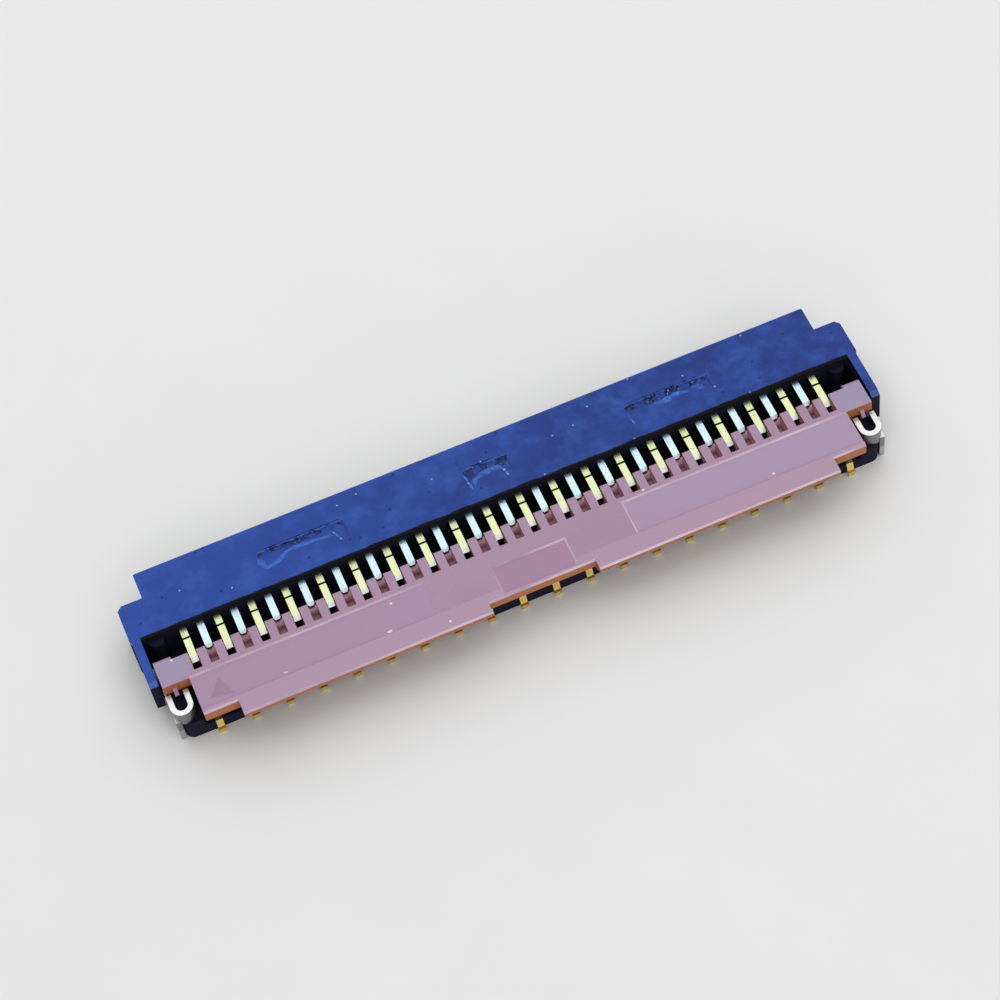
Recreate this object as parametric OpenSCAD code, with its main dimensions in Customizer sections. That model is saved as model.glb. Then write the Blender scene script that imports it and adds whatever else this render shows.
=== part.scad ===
// Back-flip connector for a flexible printed circuit, lever closed.
// X runs along the contact row, +Y points to the cable mouth, Z is up from the board.
// The origin is on the board, under the middle of the closed connector.

/* [Contact row] */
// Centre distance of neighbouring contacts
pitch = 0.30; // [0.28:0.01:0.50]
// Number of contacts, odd so that both ends have a rear tail
contact_count = 39; // [11:2:51]
// Thickness of the contact sheet
contact_t = 0.12; // [0.08:0.01:0.12]
// Play between a contact and each side of its groove
groove_play = 0.01; // [0.005:0.005:0.03]

/* [Contact form] */
// Height of the upper arm
arm_h = 0.10; // [0.09:0.01:0.12]
// Room above the upper arm for its flexing
arm_play = 0.03; // [0.02:0.01:0.05]
// Length of a front-tailed contact's upper arm behind the roof
short_arm = 0.50; // [0.40:0.01:0.51]
// Nick across a rear-tailed contact's upper arm, from the roof's rear edge
nick_back = 0.20; // [0.12:0.01:0.22]
// Front arm length, from the roof's rear edge
front_arm = 0.95; // [0.85:0.01:1.00]
// Distance of the web from the roof's rear edge
web_in = 0.05; // [0.03:0.01:0.10]
// Width of the web that joins the upper and lower arms
web_w = 0.20; // [0.15:0.01:0.24]
// Height of the strip that lies in the floor groove
strip_h = 0.10; // [0.08:0.01:0.12]
// Height of the solder tails
tail_h = 0.10; // [0.08:0.01:0.14]
// Reach of the rear tails behind the base
rear_tail_out = 0.10; // [0.08:0.01:0.20]
// Reach of the front tails beyond the mouth
front_tail_out = 0.21; // [0.10:0.01:0.40]
// Contact point of the rear-tailed contacts, from the roof's rear edge
far_bump = 0.78; // [0.70:0.01:0.82]
// Contact point of the front-tailed contacts, from the roof's rear edge
near_bump = 0.58; // [0.52:0.01:0.68]

/* [Housing] */
// Overall height over the roof
height = 1.00; // [0.95:0.01:1.20]
// Roof thickness over the grooves
roof_t = 0.09; // [0.08:0.01:0.12]
// Roof depth from its rear edge to the mouth
roof_depth = 1.29; // [1.20:0.01:1.50]
// Depth of the wide shoulders, from the roof's rear edge
shoulder_depth = 0.77; // [0.60:0.01:0.95]
// Width that the shoulders add at each end
shoulder_out = 0.455; // [0.40:0.005:0.60]
// Height of the cable slot
cable_gap = 0.26; // [0.20:0.01:0.28]
// Cable edge beyond the centre of the end contact
cable_side = 0.33; // [0.30:0.01:0.45]
// Side wall of the mouth
mouth_wall = 0.10; // [0.08:0.01:0.20]
// Thickness of the floor under the grooves
floor_skin = 0.06; // [0.04:0.01:0.08]
// Thickness of the base behind the roof
base_t = 0.25; // [0.20:0.01:0.28]
// Base depth behind the roof
base_depth = 1.50; // [1.42:0.01:1.60]
// Length of the side arms behind the roof
side_arm = 0.90; // [0.75:0.01:0.95]
// Width of the side arms
side_arm_w = 0.15; // [0.13:0.01:0.20]
// Depth of the moulding hollows in the roof
hollow_depth = 0.04; // [0.02:0.01:0.05]
// Rear end of the hollows, from the roof's rear edge
hollow_near = 0.30; // [0.20:0.01:0.40]
// Front end of the hollows, from the roof's rear edge
hollow_far = 0.78; // [0.60:0.01:0.90]
// Half length of the middle hollow
hollow_half = 0.40; // [0.25:0.05:0.60]
// Bevel on the outer edges
bevel = 0.03; // [0.01:0.005:0.05]

/* [Lever] */
// Distance of the hinge axis behind the roof
hinge_back = 0.50; // [0.50:0.01:0.53]
// Length from the hinge axis to the rear edge
lever_len = 1.50; // [1.40:0.01:1.60]
// Thickness of the lever plate
lever_t = 0.31; // [0.26:0.01:0.33]
// Lever top below the roof
lever_drop = 0.04; // [0.02:0.01:0.06]
// Depth of the sunk panels in the lever's top
panel_drop = 0.03; // [0.01:0.01:0.05]
// Rear end of the outer panels, behind the roof
panel_back = 1.63; // [1.40:0.01:1.65]
// Half length of the middle panel
mid_panel_half = 0.67; // [0.40:0.01:0.80]
// Front end of the middle panel, behind the roof
mid_panel_front = 1.18; // [1.05:0.01:1.30]
// Rim between the middle panel and the notch
mid_panel_rim = 0.06; // [0.04:0.01:0.10]
// Width of the slots that the contact arms enter
slot_w = 0.15; // [0.15:0.01:0.18]
// Room in a slot beyond what the contact arm sweeps
slot_room = 0.09; // [0.06:0.01:0.12]
// Height of the cam bar when closed
cam_h = 0.22; // [0.20:0.01:0.24]
// Width of the cam bar when closed
cam_w = 0.16; // [0.14:0.01:0.18]
// Running clearance around the cam bar
cam_play = 0.02; // [0.015:0.005:0.03]
// Running clearance between the lever and the contact arms
lever_play = 0.03; // [0.02:0.005:0.04]
// Thickness of the end lugs
lug_t = 0.23; // [0.22:0.01:0.25]
// Gap between a lug and its side arm
lug_gap = 0.04; // [0.02:0.01:0.06]
// Diameter of the pivot pins
pin_d = 0.20; // [0.16:0.02:0.24]
// Length of a pivot pin inside its side arm
pin_in = 0.06; // [0.04:0.01:0.08]
// Running clearance round a pivot pin
pin_play = 0.02; // [0.01:0.005:0.03]
// Setback of the rear edge at the two end tabs
tab_setback = 0.28; // [0.15:0.01:0.35]
// Length of the end tabs
tab_len = 0.60; // [0.40:0.02:0.80]
// Setback of the rear edge at the middle notch
notch_setback = 0.19; // [0.10:0.01:0.25]
// Length of the middle notch
notch_len = 1.90; // [1.40:0.05:2.50]
// Finger-nail chamfer under the rear edge
nail = 0.20; // [0.10:0.01:0.22]
// Chamfer under the edge of the middle notch
notch_chamfer = 0.12; // [0.05:0.01:0.16]
// Chamfer under the edge of the end tabs
tab_chamfer = 0.08; // [0.05:0.01:0.16]

/* [Hold-down fittings] */
// Thickness of the fitting sheet
fitting_t = 0.09; // [0.08:0.01:0.10]
// Width across the two legs
fitting_w = 0.39; // [0.36:0.01:0.42]
// Top of the fitting above the board
fitting_top = 0.75; // [0.68:0.01:0.80]
// Seat of the fitting above the board
fitting_seat = 0.45; // [0.40:0.01:0.50]
// Distance of the bend behind the roof
fitting_back = 1.47; // [1.40:0.01:1.50]
// Width of the solder tab under the outer leg
foot_len = 0.26; // [0.20:0.01:0.30]

/* [Hidden] */
$fn = 48;
cut = 0.2;

// Stations along X
row_half = pitch * (contact_count - 1) / 2;
cable_half = row_half + cable_side;
mouth_half = cable_half + mouth_wall;
shoulder_half = mouth_half + shoulder_out;
side_arm_out = shoulder_half - bevel;
side_arm_in = side_arm_out - side_arm_w;
side_arm_rise = 0.05;
base_side = 0.03;
lug_step_out = 0.03;
panel_share = 0.3;
hollow_in_share = 0.45;
hollow_out_share = 0.72;
lug_half = side_arm_in - lug_gap;
plate_half = row_half + pitch * 2 / 3;
tab_half = plate_half - tab_len;
panel_in = panel_share * plate_half;
lug_step = cable_half + lug_step_out;
hollow_in = hollow_in_share * row_half;
hollow_out = hollow_out_share * row_half;
fitting_gap = 0.085;
fitting_x = plate_half + fitting_gap + fitting_w / 2;

// Stations along Y
window_y = (hinge_back + lever_len - roof_depth - front_tail_out) / 2;
mouth_y = window_y + roof_depth;
shoulder_y = window_y + shoulder_depth;
web_y = window_y + web_in;
stop_gap = 0.02;
stop_y = web_y + web_w + stop_gap;
front_arm_y = window_y + front_arm;
base_y = window_y - base_depth;
hinge_y = window_y - hinge_back;
rear_y = hinge_y - lever_len;
fitting_y = window_y - fitting_back;
fitting_arc_y = fitting_y + fitting_w / 2;

// Stations along Z
groove_top = height - roof_t;
arm_top = groove_top - arm_play;
arm_under = arm_top - arm_h;
hinge_z = arm_under - cam_play - cam_h / 2;
seat_z = hinge_z - cam_h / 2 - cam_play;
cable_lip = 0.08;
cable_top = arm_under - cable_lip;
cable_floor = cable_top - cable_gap;
strip_top = floor_skin + strip_h;
lower_top = base_t - groove_play;
plate_top = height - lever_drop;
plate_under = plate_top - lever_t;
lug_under = plate_top - lug_t;
belly_z = hinge_z - cam_h / 2;
post_drop = 0.05;
post_top = groove_top - post_drop;
tongue_rise = 0.12;
tongue_top = fitting_seat + tongue_rise;

// Measures of the lower spring
nose_dip = 0.02;
arm_room = 0.05;
spring_gap = 0.04;
spring_end = 0.14;
bump_r = 0.06;
bump_rise = 0.08;
bump_z = cable_floor + bump_rise - bump_r;

// Lever measures from the hinge axis, set by what the contact arms sweep
hook_w = 0.04;
hook_reach = cam_h / 2 + cam_play + hook_w;
tip_slope = 0.07;
tip_drop = 0.045;
arm_rise = arm_top - hinge_z;
arm_sweep = max(norm([hook_reach - tip_slope, arm_rise]), norm([hook_reach, arm_rise - tip_drop]));
slot_back = arm_sweep + lever_play + slot_room;
ledge_bar = 0.08;
ridge_y = hinge_y - slot_back - ledge_bar;
pocket_z = hinge_z + hinge_back - short_arm - lever_play;
finger_front = -0.02;
lug_front = 0.07;
lug_over = 0.03;
lug_near_y = ridge_y - lug_over;
belly_back = 0.55;
leg_reach = 0.08;
leg_end_y = hinge_y - slot_back + leg_reach;

function contact_name(i) = str("contact_", i < 10 ? "0" : "", i);
function contact_x(i) = (i - 1) * pitch - row_half;
function rear_tailed(i) = i % 2 == 1;

// Carries an outline drawn in (y, z) from x0 to x1
module along_x(x0, x1) {
    translate([x0, 0, 0])
        rotate([90, 0, 90])
            linear_extrude(x1 - x0)
                children();
}

// A box between two corners
module span(low, high) {
    translate(low)
        cube(high - low);
}

module both_ends() {
    children();
    mirror([1, 0, 0])
        children();
}

// Outline of the roofed front block seen from above, with clipped corners
module front_plan() {
    clip = 0.08;
    right = [
        [side_arm_out, window_y],
        [shoulder_half, window_y + 2 * bevel],
        [shoulder_half, shoulder_y - clip],
        [shoulder_half - clip, shoulder_y],
        [mouth_half, shoulder_y],
        [mouth_half, mouth_y - bevel],
        [mouth_half - bevel, mouth_y]
    ];
    left = [for (i = [len(right) - 1 : -1 : 0]) [-right[i][0], right[i][1]]];
    polygon(concat(right, left));
}

// Section of the front block, with bevelled top edges
module front_section() {
    polygon([
        [window_y, 0],
        [mouth_y, 0],
        [mouth_y, height - bevel],
        [mouth_y - bevel, height],
        [window_y + bevel / 2, height],
        [window_y, height - bevel / 2]
    ]);
}

// Section of a side arm that guards the lever's end
module side_arm_section() {
    under = base_t + side_arm_rise;
    tip = window_y - side_arm;
    polygon([
        [tip, under],
        [hinge_y - cam_w / 2, under],
        [hinge_y - cam_w / 2, 0],
        [window_y, 0],
        [window_y, height],
        [tip + 3 * bevel, height],
        [tip, height - 2 * bevel]
    ]);
}

// Round post that closes the row's end behind the roof
module row_end_post() {
    post_r = 0.135;
    translate([cable_half + post_r, window_y, 0])
        cylinder(r = post_r, h = post_top);
}

// Block under a fitting, rounded at its outer rear corner, with a tongue between the fitting's legs
module fitting_block() {
    inner = plate_half + base_side;
    tongue = fitting_w / 2 - fitting_t - groove_play;
    outer = fitting_x + tongue;
    leg_room = 0.01;
    far = leg_end_y + leg_room;
    corner = 0.15;
    span([inner, base_y, 0], [outer - corner, far, fitting_seat]);
    span([inner, base_y + corner, 0], [outer, far, fitting_seat]);
    translate([outer - corner, base_y + corner, 0])
        cylinder(r = corner, h = fitting_seat);
    span([fitting_x - tongue, fitting_arc_y, 0], [fitting_x + tongue, far, tongue_top]);
    translate([fitting_x, fitting_arc_y, 0])
        cylinder(r = tongue, h = tongue_top);
}

// Shallow ramped hollow left by the mould in the roof
module roof_hollow(x0, x1) {
    along_x(x0, x1)
        polygon([
            [window_y + hollow_near, height],
            [window_y + hollow_far - hollow_depth, height - hollow_depth],
            [window_y + hollow_far, height + bevel]
        ]);
}

// Groove that takes contact i, open at the end where the contact is pushed in
module contact_groove(i) {
    near = rear_tailed(i) ? base_y - cut : hinge_y - hook_reach;
    far = rear_tailed(i) ? front_arm_y + arm_room : mouth_y + cut;
    half = contact_t / 2 + groove_play;
    span([contact_x(i) - half, near, floor_skin], [contact_x(i) + half, far, groove_top]);
}

module housing() {
    color("#1d2440")
        difference() {
            union() {
                intersection() {
                    linear_extrude(height)
                        front_plan();
                    along_x(-shoulder_half, shoulder_half)
                        front_section();
                }
                span([-side_arm_out, hinge_y - cam_w / 2, 0], [side_arm_out, window_y, base_t]);
                span([-plate_half - base_side, base_y, 0], [plate_half + base_side, window_y, base_t]);
                both_ends() {
                    along_x(side_arm_in, side_arm_out)
                        side_arm_section();
                    row_end_post();
                    fitting_block();
                }
            }
            span([-cable_half, stop_y, cable_floor], [cable_half, mouth_y + cut, cable_top]);
            for (i = [1 : contact_count])
                contact_groove(i);
            roof_hollow(-hollow_half, hollow_half);
            both_ends() {
                roof_hollow(hollow_in, hollow_out);
                translate([side_arm_in - lug_gap, hinge_y, hinge_z])
                    rotate([0, 90, 0])
                        cylinder(d = pin_d + 2 * pin_play, h = lug_gap + pin_in + pin_play);
            }
        }
}

// Oblong section of the cam bar, upright when the lever is closed
module cam_section() {
    straight = cam_h - cam_w;
    translate([hinge_y, hinge_z]) {
        square([cam_w, straight], center = true);
        for (side = [-1, 1])
            translate([0, side * straight / 2])
                circle(d = cam_w);
    }
}

// Section of the lever through its fingers, plate and belly, up to a rear edge chamfered below
module lever_section(edge_y, chamfer) {
    polygon([
        [hinge_y + finger_front, hinge_z],
        [hinge_y + finger_front, plate_top],
        [edge_y + bevel, plate_top],
        [edge_y, plate_top - bevel],
        [edge_y, plate_under + chamfer],
        [edge_y + chamfer, plate_under],
        [hinge_y - belly_back, plate_under],
        [hinge_y - slot_back, belly_z],
        [hinge_y, belly_z]
    ]);
}

// Section of an end lug, clipped at its front top edge
module lug_section() {
    clip = 2 * bevel;
    polygon([
        [hinge_y + lug_front, lug_under],
        [hinge_y + lug_front, plate_top - clip],
        [hinge_y + lug_front - clip, plate_top],
        [lug_near_y, plate_top],
        [lug_near_y, lug_under]
    ]);
}

// Section of the nub that a lug hangs between the legs of the fitting
module nub_section() {
    reach = 0.09;
    polygon([
        [lug_near_y + reach, lug_under],
        [lug_near_y, plate_top - lug_t / 2],
        [lug_near_y - reach, lug_under],
        [lug_near_y - reach / 2, lug_under - reach]
    ]);
}

// Opening in the lever for contact i: right through for the long arms, blind for the short ones
module arm_slot(i) {
    low = rear_tailed(i) ? hinge_z - cam_h : pocket_z;
    x = contact_x(i);
    span([x - slot_w / 2, hinge_y - slot_back, low], [x + slot_w / 2, hinge_y + cut, height]);
}

// Shallow panel sunk into the lever's top between two corners of its rim, with walls sloping one in one
module sunk_panel(low, high) {
    sunk = plate_top - panel_drop;
    inset = [panel_drop, panel_drop];
    flare = [lever_drop, lever_drop];
    hull() {
        span(concat(low + inset, sunk), concat(high - inset, sunk + cut));
        span(concat(low - flare, height), concat(high + flare, height + cut));
    }
}

// One panel on each half of the lever, open to its end, and one at the middle notch
module lever_panels() {
    both_ends()
        sunk_panel([panel_in, window_y - panel_back], [plate_half + panel_drop + cut, ridge_y]);
    sunk_panel(
        [-mid_panel_half, rear_y + notch_setback + mid_panel_rim],
        [mid_panel_half, window_y - mid_panel_front]
    );
}

module actuator() {
    nub_w = 0.07;
    color("#a88fae") {
        difference() {
            union() {
                along_x(-notch_len / 2, notch_len / 2)
                    lever_section(rear_y + notch_setback, notch_chamfer);
                both_ends() {
                    along_x(notch_len / 2, tab_half)
                        lever_section(rear_y, nail);
                    along_x(tab_half, plate_half)
                        lever_section(rear_y + tab_setback, tab_chamfer);
                }
            }
            for (i = [1 : contact_count])
                arm_slot(i);
            lever_panels();
        }
        along_x(-lug_half, lug_half)
            cam_section();
        both_ends() {
            span([plate_half, lug_near_y, lug_under], [lug_step, hinge_y + finger_front, plate_top]);
            along_x(lug_step, lug_half)
                lug_section();
            along_x(fitting_x - nub_w / 2, fitting_x + nub_w / 2)
                nub_section();
            translate([lug_half, hinge_y, hinge_z])
                rotate([0, 90, 0])
                    cylinder(d = pin_d, h = lug_gap + pin_in);
        }
    }
}

// U-bent strip on edge, closed end to the rear, seen from above
module fitting_plan(far_y) {
    inner = fitting_w / 2 - fitting_t;
    difference() {
        union() {
            translate([fitting_x, fitting_arc_y])
                circle(d = fitting_w);
            translate([fitting_x - fitting_w / 2, fitting_arc_y])
                square([fitting_w, far_y - fitting_arc_y]);
        }
        translate([fitting_x, fitting_arc_y])
            circle(r = inner);
        translate([fitting_x - inner, fitting_arc_y])
            square([2 * inner, far_y - fitting_arc_y + cut]);
    }
}

module fitting() {
    leg_y = lug_near_y - lug_gap;
    outer = fitting_x + fitting_w / 2;
    foot_in = 0.02;
    foot_y = fitting_y + foot_in;
    color("#c9ccd2") {
        translate([0, 0, fitting_seat])
            linear_extrude(fitting_top - fitting_seat)
                fitting_plan(leg_y);
        translate([0, 0, fitting_seat])
            linear_extrude((fitting_top - fitting_seat) / 2)
                fitting_plan(leg_end_y);
        span([outer - fitting_t, foot_y, 0], [outer, foot_y + foot_len, fitting_seat + fitting_t]);
    }
}

module fitting_right() {
    fitting();
}

module fitting_left() {
    mirror([1, 0, 0])
        fitting();
}

// Upper arm of a rear-tailed contact, nicked on top and hooked over the cam bar
module hooked_arm() {
    tip = hinge_y - hook_reach;
    nick_w = 0.04;
    nick_y = window_y - nick_back - nick_w / 2;
    polygon([
        [tip, hinge_z + cam_w / 2],
        [tip, arm_top - tip_drop],
        [tip + tip_slope, arm_top],
        [nick_y, arm_top],
        [nick_y, arm_top - arm_h / 2],
        [nick_y + nick_w, arm_top - arm_h / 2],
        [nick_y + nick_w, arm_top],
        [web_y + web_w / 2, arm_top],
        [web_y + web_w / 2, arm_under],
        [tip + hook_w, arm_under],
        [tip + hook_w, hinge_z + cam_w / 2]
    ]);
}

// Upper arm of a front-tailed contact, sloping down at its tip over the cam bar
module plain_arm() {
    tip = window_y - short_arm;
    polygon([
        [tip, arm_under],
        [tip, arm_top - arm_h / 2],
        [tip + arm_h / 2, arm_top],
        [web_y + web_w / 2, arm_top],
        [web_y + web_w / 2, arm_under]
    ]);
}

// Front half of the upper arm, which bears on the cable with its nose
module pressing_arm() {
    sag = 0.05;
    nose = cable_top - nose_dip;
    polygon([
        [web_y + web_w / 2, arm_under],
        [web_y + web_w / 2, arm_top],
        [web_y + web_w, arm_top],
        [front_arm_y, arm_top - sag],
        [front_arm_y, nose],
        [front_arm_y - arm_h, nose],
        [front_arm_y - 2 * arm_h, arm_under - sag],
        [web_y + web_w, arm_under]
    ]);
}

// Lower spring that carries the contact point up to the cable
module lower_spring(bump_y) {
    low = strip_top + spring_gap;
    polygon([
        [web_y + web_w / 2, low],
        [bump_y, low + spring_gap],
        [bump_y + spring_end, low],
        [bump_y + spring_end, low + 2 * spring_gap],
        [bump_y + bump_r, bump_z],
        [bump_y - bump_r, bump_z],
        [web_y + web_w / 2, low + strip_h]
    ]);
}

// Rounded contact point
module spring_bump(bump_y) {
    translate([bump_y, bump_z])
        circle(r = bump_r);
}

// Lower arm under the cam bar, from the web back to a given end
module lower_arm(end_y) {
    seat = hook_reach - hook_w;
    rise = seat_z - lower_top;
    polygon([
        [end_y, floor_skin],
        [web_y + web_w, floor_skin],
        [web_y + web_w, lower_top],
        [hinge_y + seat + rise, lower_top],
        [hinge_y + seat, seat_z],
        [hinge_y - seat, seat_z],
        [hinge_y - seat, lower_top],
        [end_y, lower_top]
    ]);
}

module web() {
    translate([web_y, floor_skin])
        square([web_w, arm_top - floor_skin]);
}

// Solder tail behind the base
module rear_tail() {
    tip = base_y - rear_tail_out;
    polygon([
        [tip, 0],
        [base_y - groove_play, 0],
        [base_y - groove_play, floor_skin],
        [base_y + strip_h, floor_skin],
        [base_y + strip_h, lower_top],
        [base_y, lower_top],
        [base_y - rear_tail_out / 2, tail_h],
        [tip, tail_h]
    ]);
}

// Strip along the floor groove, with the solder tail in front of the mouth
module front_tail() {
    tip = mouth_y + front_tail_out;
    polygon([
        [web_y, floor_skin],
        [mouth_y + groove_play, floor_skin],
        [mouth_y + groove_play, 0],
        [tip, 0],
        [tip, tail_h],
        [mouth_y + front_tail_out / 2, tail_h],
        [mouth_y, strip_top],
        [web_y, strip_top]
    ]);
}

// Blanks each outline from contact sheet, centred on x
module blanked(x) {
    for (k = [0 : $children - 1])
        along_x(x - contact_t / 2, x + contact_t / 2)
            children(k);
}

module rear_tailed_contact(x) {
    bump_y = window_y + far_bump;
    color("#d6b24c")
        blanked(x) {
            web();
            hooked_arm();
            pressing_arm();
            lower_spring(bump_y);
            spring_bump(bump_y);
            lower_arm(base_y);
            rear_tail();
        }
}

// Corner that coining takes off each side of a plain arm's tip, seen from above
module tip_corner() {
    clip = contact_t / 5;
    tip = window_y - short_arm;
    polygon([
        [contact_t / 2 - clip, tip - cut],
        [contact_t / 2 - clip, tip],
        [contact_t / 2 + clip, tip + 2 * clip],
        [contact_t / 2 + clip, tip - cut]
    ]);
}

module front_tailed_contact(x) {
    bump_y = window_y + near_bump;
    color("#dfe6ea") {
        blanked(x) {
            web();
            pressing_arm();
            lower_spring(bump_y);
            spring_bump(bump_y);
            lower_arm(hinge_y - hook_reach + hook_w);
            front_tail();
        }
        difference() {
            blanked(x)
                plain_arm();
            translate([x, 0, 0])
                both_ends()
                    linear_extrude(height)
                        tip_corner();
        }
    }
}

module contact(i) {
    if (rear_tailed(i))
        rear_tailed_contact(contact_x(i));
    else
        front_tailed_contact(contact_x(i));
}

housing();
actuator();
fitting_left();
fitting_right();
for (i = [1 : contact_count])
    contact(i);
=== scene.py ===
# %% [markdown]
# A small board connector for a flexible printed circuit. The solids come from the CAD frame at their
# real size, 13 mm long, and this lesson dresses them: camera first, then one finish for each real
# material, then the small marks that moulding and handling leave, and the light last.

import bmesh
import bpy
import numpy as np
from mathutils import Matrix, Vector


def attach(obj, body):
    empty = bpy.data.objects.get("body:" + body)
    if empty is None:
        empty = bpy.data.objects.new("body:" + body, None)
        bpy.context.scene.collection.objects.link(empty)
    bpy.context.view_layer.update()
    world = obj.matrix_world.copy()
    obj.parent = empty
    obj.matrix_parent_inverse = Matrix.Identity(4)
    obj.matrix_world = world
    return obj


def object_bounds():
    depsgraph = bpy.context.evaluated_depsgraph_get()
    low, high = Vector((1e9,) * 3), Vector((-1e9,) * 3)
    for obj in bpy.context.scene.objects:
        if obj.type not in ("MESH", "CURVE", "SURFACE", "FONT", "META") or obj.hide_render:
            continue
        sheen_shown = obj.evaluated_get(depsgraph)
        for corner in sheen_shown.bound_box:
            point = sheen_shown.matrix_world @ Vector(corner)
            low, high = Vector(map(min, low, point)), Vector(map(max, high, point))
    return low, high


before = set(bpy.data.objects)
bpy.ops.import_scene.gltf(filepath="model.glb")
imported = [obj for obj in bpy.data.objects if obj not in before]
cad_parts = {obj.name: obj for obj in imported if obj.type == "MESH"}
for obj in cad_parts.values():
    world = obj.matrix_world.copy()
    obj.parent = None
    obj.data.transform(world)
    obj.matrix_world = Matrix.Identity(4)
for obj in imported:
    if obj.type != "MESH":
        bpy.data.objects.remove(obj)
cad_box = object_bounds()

MM = 0.001

# %% [markdown]
# The camera stands where the picture was taken from: above the lever side, turned a little to the
# left and rolled, so that the row of contacts climbs to the right. Three angles, a distance and the
# point it looks at are enough to place it. The lens is long because the part is so small.

# %% Camera
AZIMUTH, ELEVATION, ROLL = -13.4, 57.0, -10.6
CAMERA_DISTANCE = 49.0 * MM
CAMERA_AIM = np.array([0.072, 0.628, 0.303]) * MM
SENSOR_MM = 36.0
LENS_MM = 104.1
CLIP_NEAR, CLIP_FAR = 1.0 * MM, 10.0


def camera_axes(azimuth, elevation, roll):
    """Right, up and backward directions: spherical angles give the backward one, roll turns the others."""
    a, e, r = np.radians([azimuth, elevation, roll])
    back = np.array([np.sin(a) * np.cos(e), -np.cos(a) * np.cos(e), np.sin(e)])
    right = np.array([np.cos(a), np.sin(a), 0.0])
    up = np.cross(back, right)
    return np.cos(r) * right + np.sin(r) * up, np.cos(r) * up - np.sin(r) * right, back


def make_camera():
    right, up, back = camera_axes(AZIMUTH, ELEVATION, ROLL)
    data = bpy.data.cameras.new("camera")
    data.sensor_width = SENSOR_MM
    data.lens = LENS_MM
    data.clip_start = CLIP_NEAR
    data.clip_end = CLIP_FAR
    camera = bpy.data.objects.new("camera", data)
    bpy.context.scene.collection.objects.link(camera)
    turn = np.eye(4)
    turn[:3, 0], turn[:3, 1], turn[:3, 2] = right, up, back
    turn[:3, 3] = CAMERA_AIM + CAMERA_DISTANCE * back
    camera.matrix_world = Matrix(turn.tolist())
    bpy.context.scene.camera = camera
    return camera


camera = make_camera()
print("camera at mm", [round(c / MM, 2) for c in camera.location])

# %% [markdown]
# The finishes and the added marks must sit exactly on the moulded shapes, so the places they need are
# read from the solids themselves: the roof's height, the lever's height, the ridge where its panels
# begin, the three shallow hollows in the roof, and the window between the roof and the lever. A whole
# array of corner points is compared at once.

# %% Read places from the solids
HAIR = 0.002 * MM
HOLLOW_DEPTH = 0.04 * MM
PANEL_DROP = 0.03 * MM


def node_points(name):
    """Corner points of a CAD node, one row each, in metres."""
    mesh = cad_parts[name].data
    points = np.empty(3 * len(mesh.vertices), np.float32)
    mesh.vertices.foreach_get("co", points)
    return points.reshape(-1, 3).astype(float)


housing_points = node_points("housing")
lever_points = node_points("actuator")
ROOF_TOP = housing_points[:, 2].max()
LEVER_TOP = lever_points[:, 2].max()
PANEL_Z = LEVER_TOP - PANEL_DROP
panel_points = lever_points[np.abs(lever_points[:, 2] - PANEL_Z) < HAIR]
RIDGE_Y = panel_points[:, 1].max() + PANEL_DROP
floor_points = housing_points[np.abs(housing_points[:, 2] - (ROOF_TOP - HOLLOW_DEPTH)) < HAIR]
HOLLOW_Y = floor_points[:, 1].max()
hollow_x = np.unique(np.round(floor_points[:, 0] / HAIR)) * HAIR
HOLLOWS = hollow_x.reshape(-1, 2)
top_points = housing_points[np.abs(housing_points[:, 2] - ROOF_TOP) < HAIR]
arm_points = top_points[top_points[:, 1] < top_points[:, 1].min() + HAIR]
WINDOW_HALF = np.abs(arm_points[:, 0]).min()
inner_points = top_points[np.abs(np.abs(top_points[:, 0]) - WINDOW_HALF) < HAIR]
WINDOW_Y = inner_points[:, 1].max()
print("roof, lever, ridge mm", np.round(np.array([ROOF_TOP, LEVER_TOP, RIDGE_Y]) / MM, 3).tolist())
print("hollows mm", np.round(HOLLOWS / MM, 2).tolist(), "at", round(HOLLOW_Y / MM, 3))
print("window half and edge mm", round(WINDOW_HALF / MM, 3), round(WINDOW_Y / MM, 3))

# %% [markdown]
# Every finish is a small tree of nodes. One function adds a node, sets its sockets and links it, and
# one turns an sRGB hex colour into the linear numbers that the shader works with. A texture's scale is
# always worked out from the real size of what it draws. Settings that come back often get a name.

# %% Helpers for finishes
RGBA = {"data_type": "RGBA"}
SMOOTH = {"interpolation_type": "SMOOTHSTEP"}
TIMES = {"operation": "MULTIPLY"}
LARGER = {"operation": "MAXIMUM"}
DISTANCE = {"operation": "ABSOLUTE"}
ABOVE = {"operation": "GREATER_THAN"}
BELOW = {"operation": "LESS_THAN"}
FACTOR, FIRST, SECOND, MIXED = 0, 6, 7, 2       # sockets of a colour mix: three inputs and the output


def linear(hex_colour):
    """sRGB hex to linear RGBA: the standard curve, straight near black and a 2.4 power above."""
    c = np.array([int(hex_colour[i:i + 2], 16) for i in (1, 3, 5)]) / 255.0
    rgb = np.where(c <= 0.04045, c / 12.92, ((c + 0.055) / 1.055) ** 2.4)
    return (*rgb.tolist(), 1.0)


def pattern_scale(size_mm):
    """A texture's scale: one over the real size of a feature."""
    return 1 / (size_mm * MM)


def add_node(tree, kind, settings=None, inputs=None):
    """Adds one node; settings are its properties, inputs are socket values or (node, output) links."""
    node = tree.nodes.new(kind)
    for key, value in (settings or {}).items():
        setattr(node, key, value)
    for key, value in (inputs or {}).items():
        if isinstance(value, tuple) and len(value) == 2 and hasattr(value[0], "outputs"):
            tree.links.new(value[0].outputs[value[1]], node.inputs[key])
        else:
            node.inputs[key].default_value = value
    return node


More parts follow.
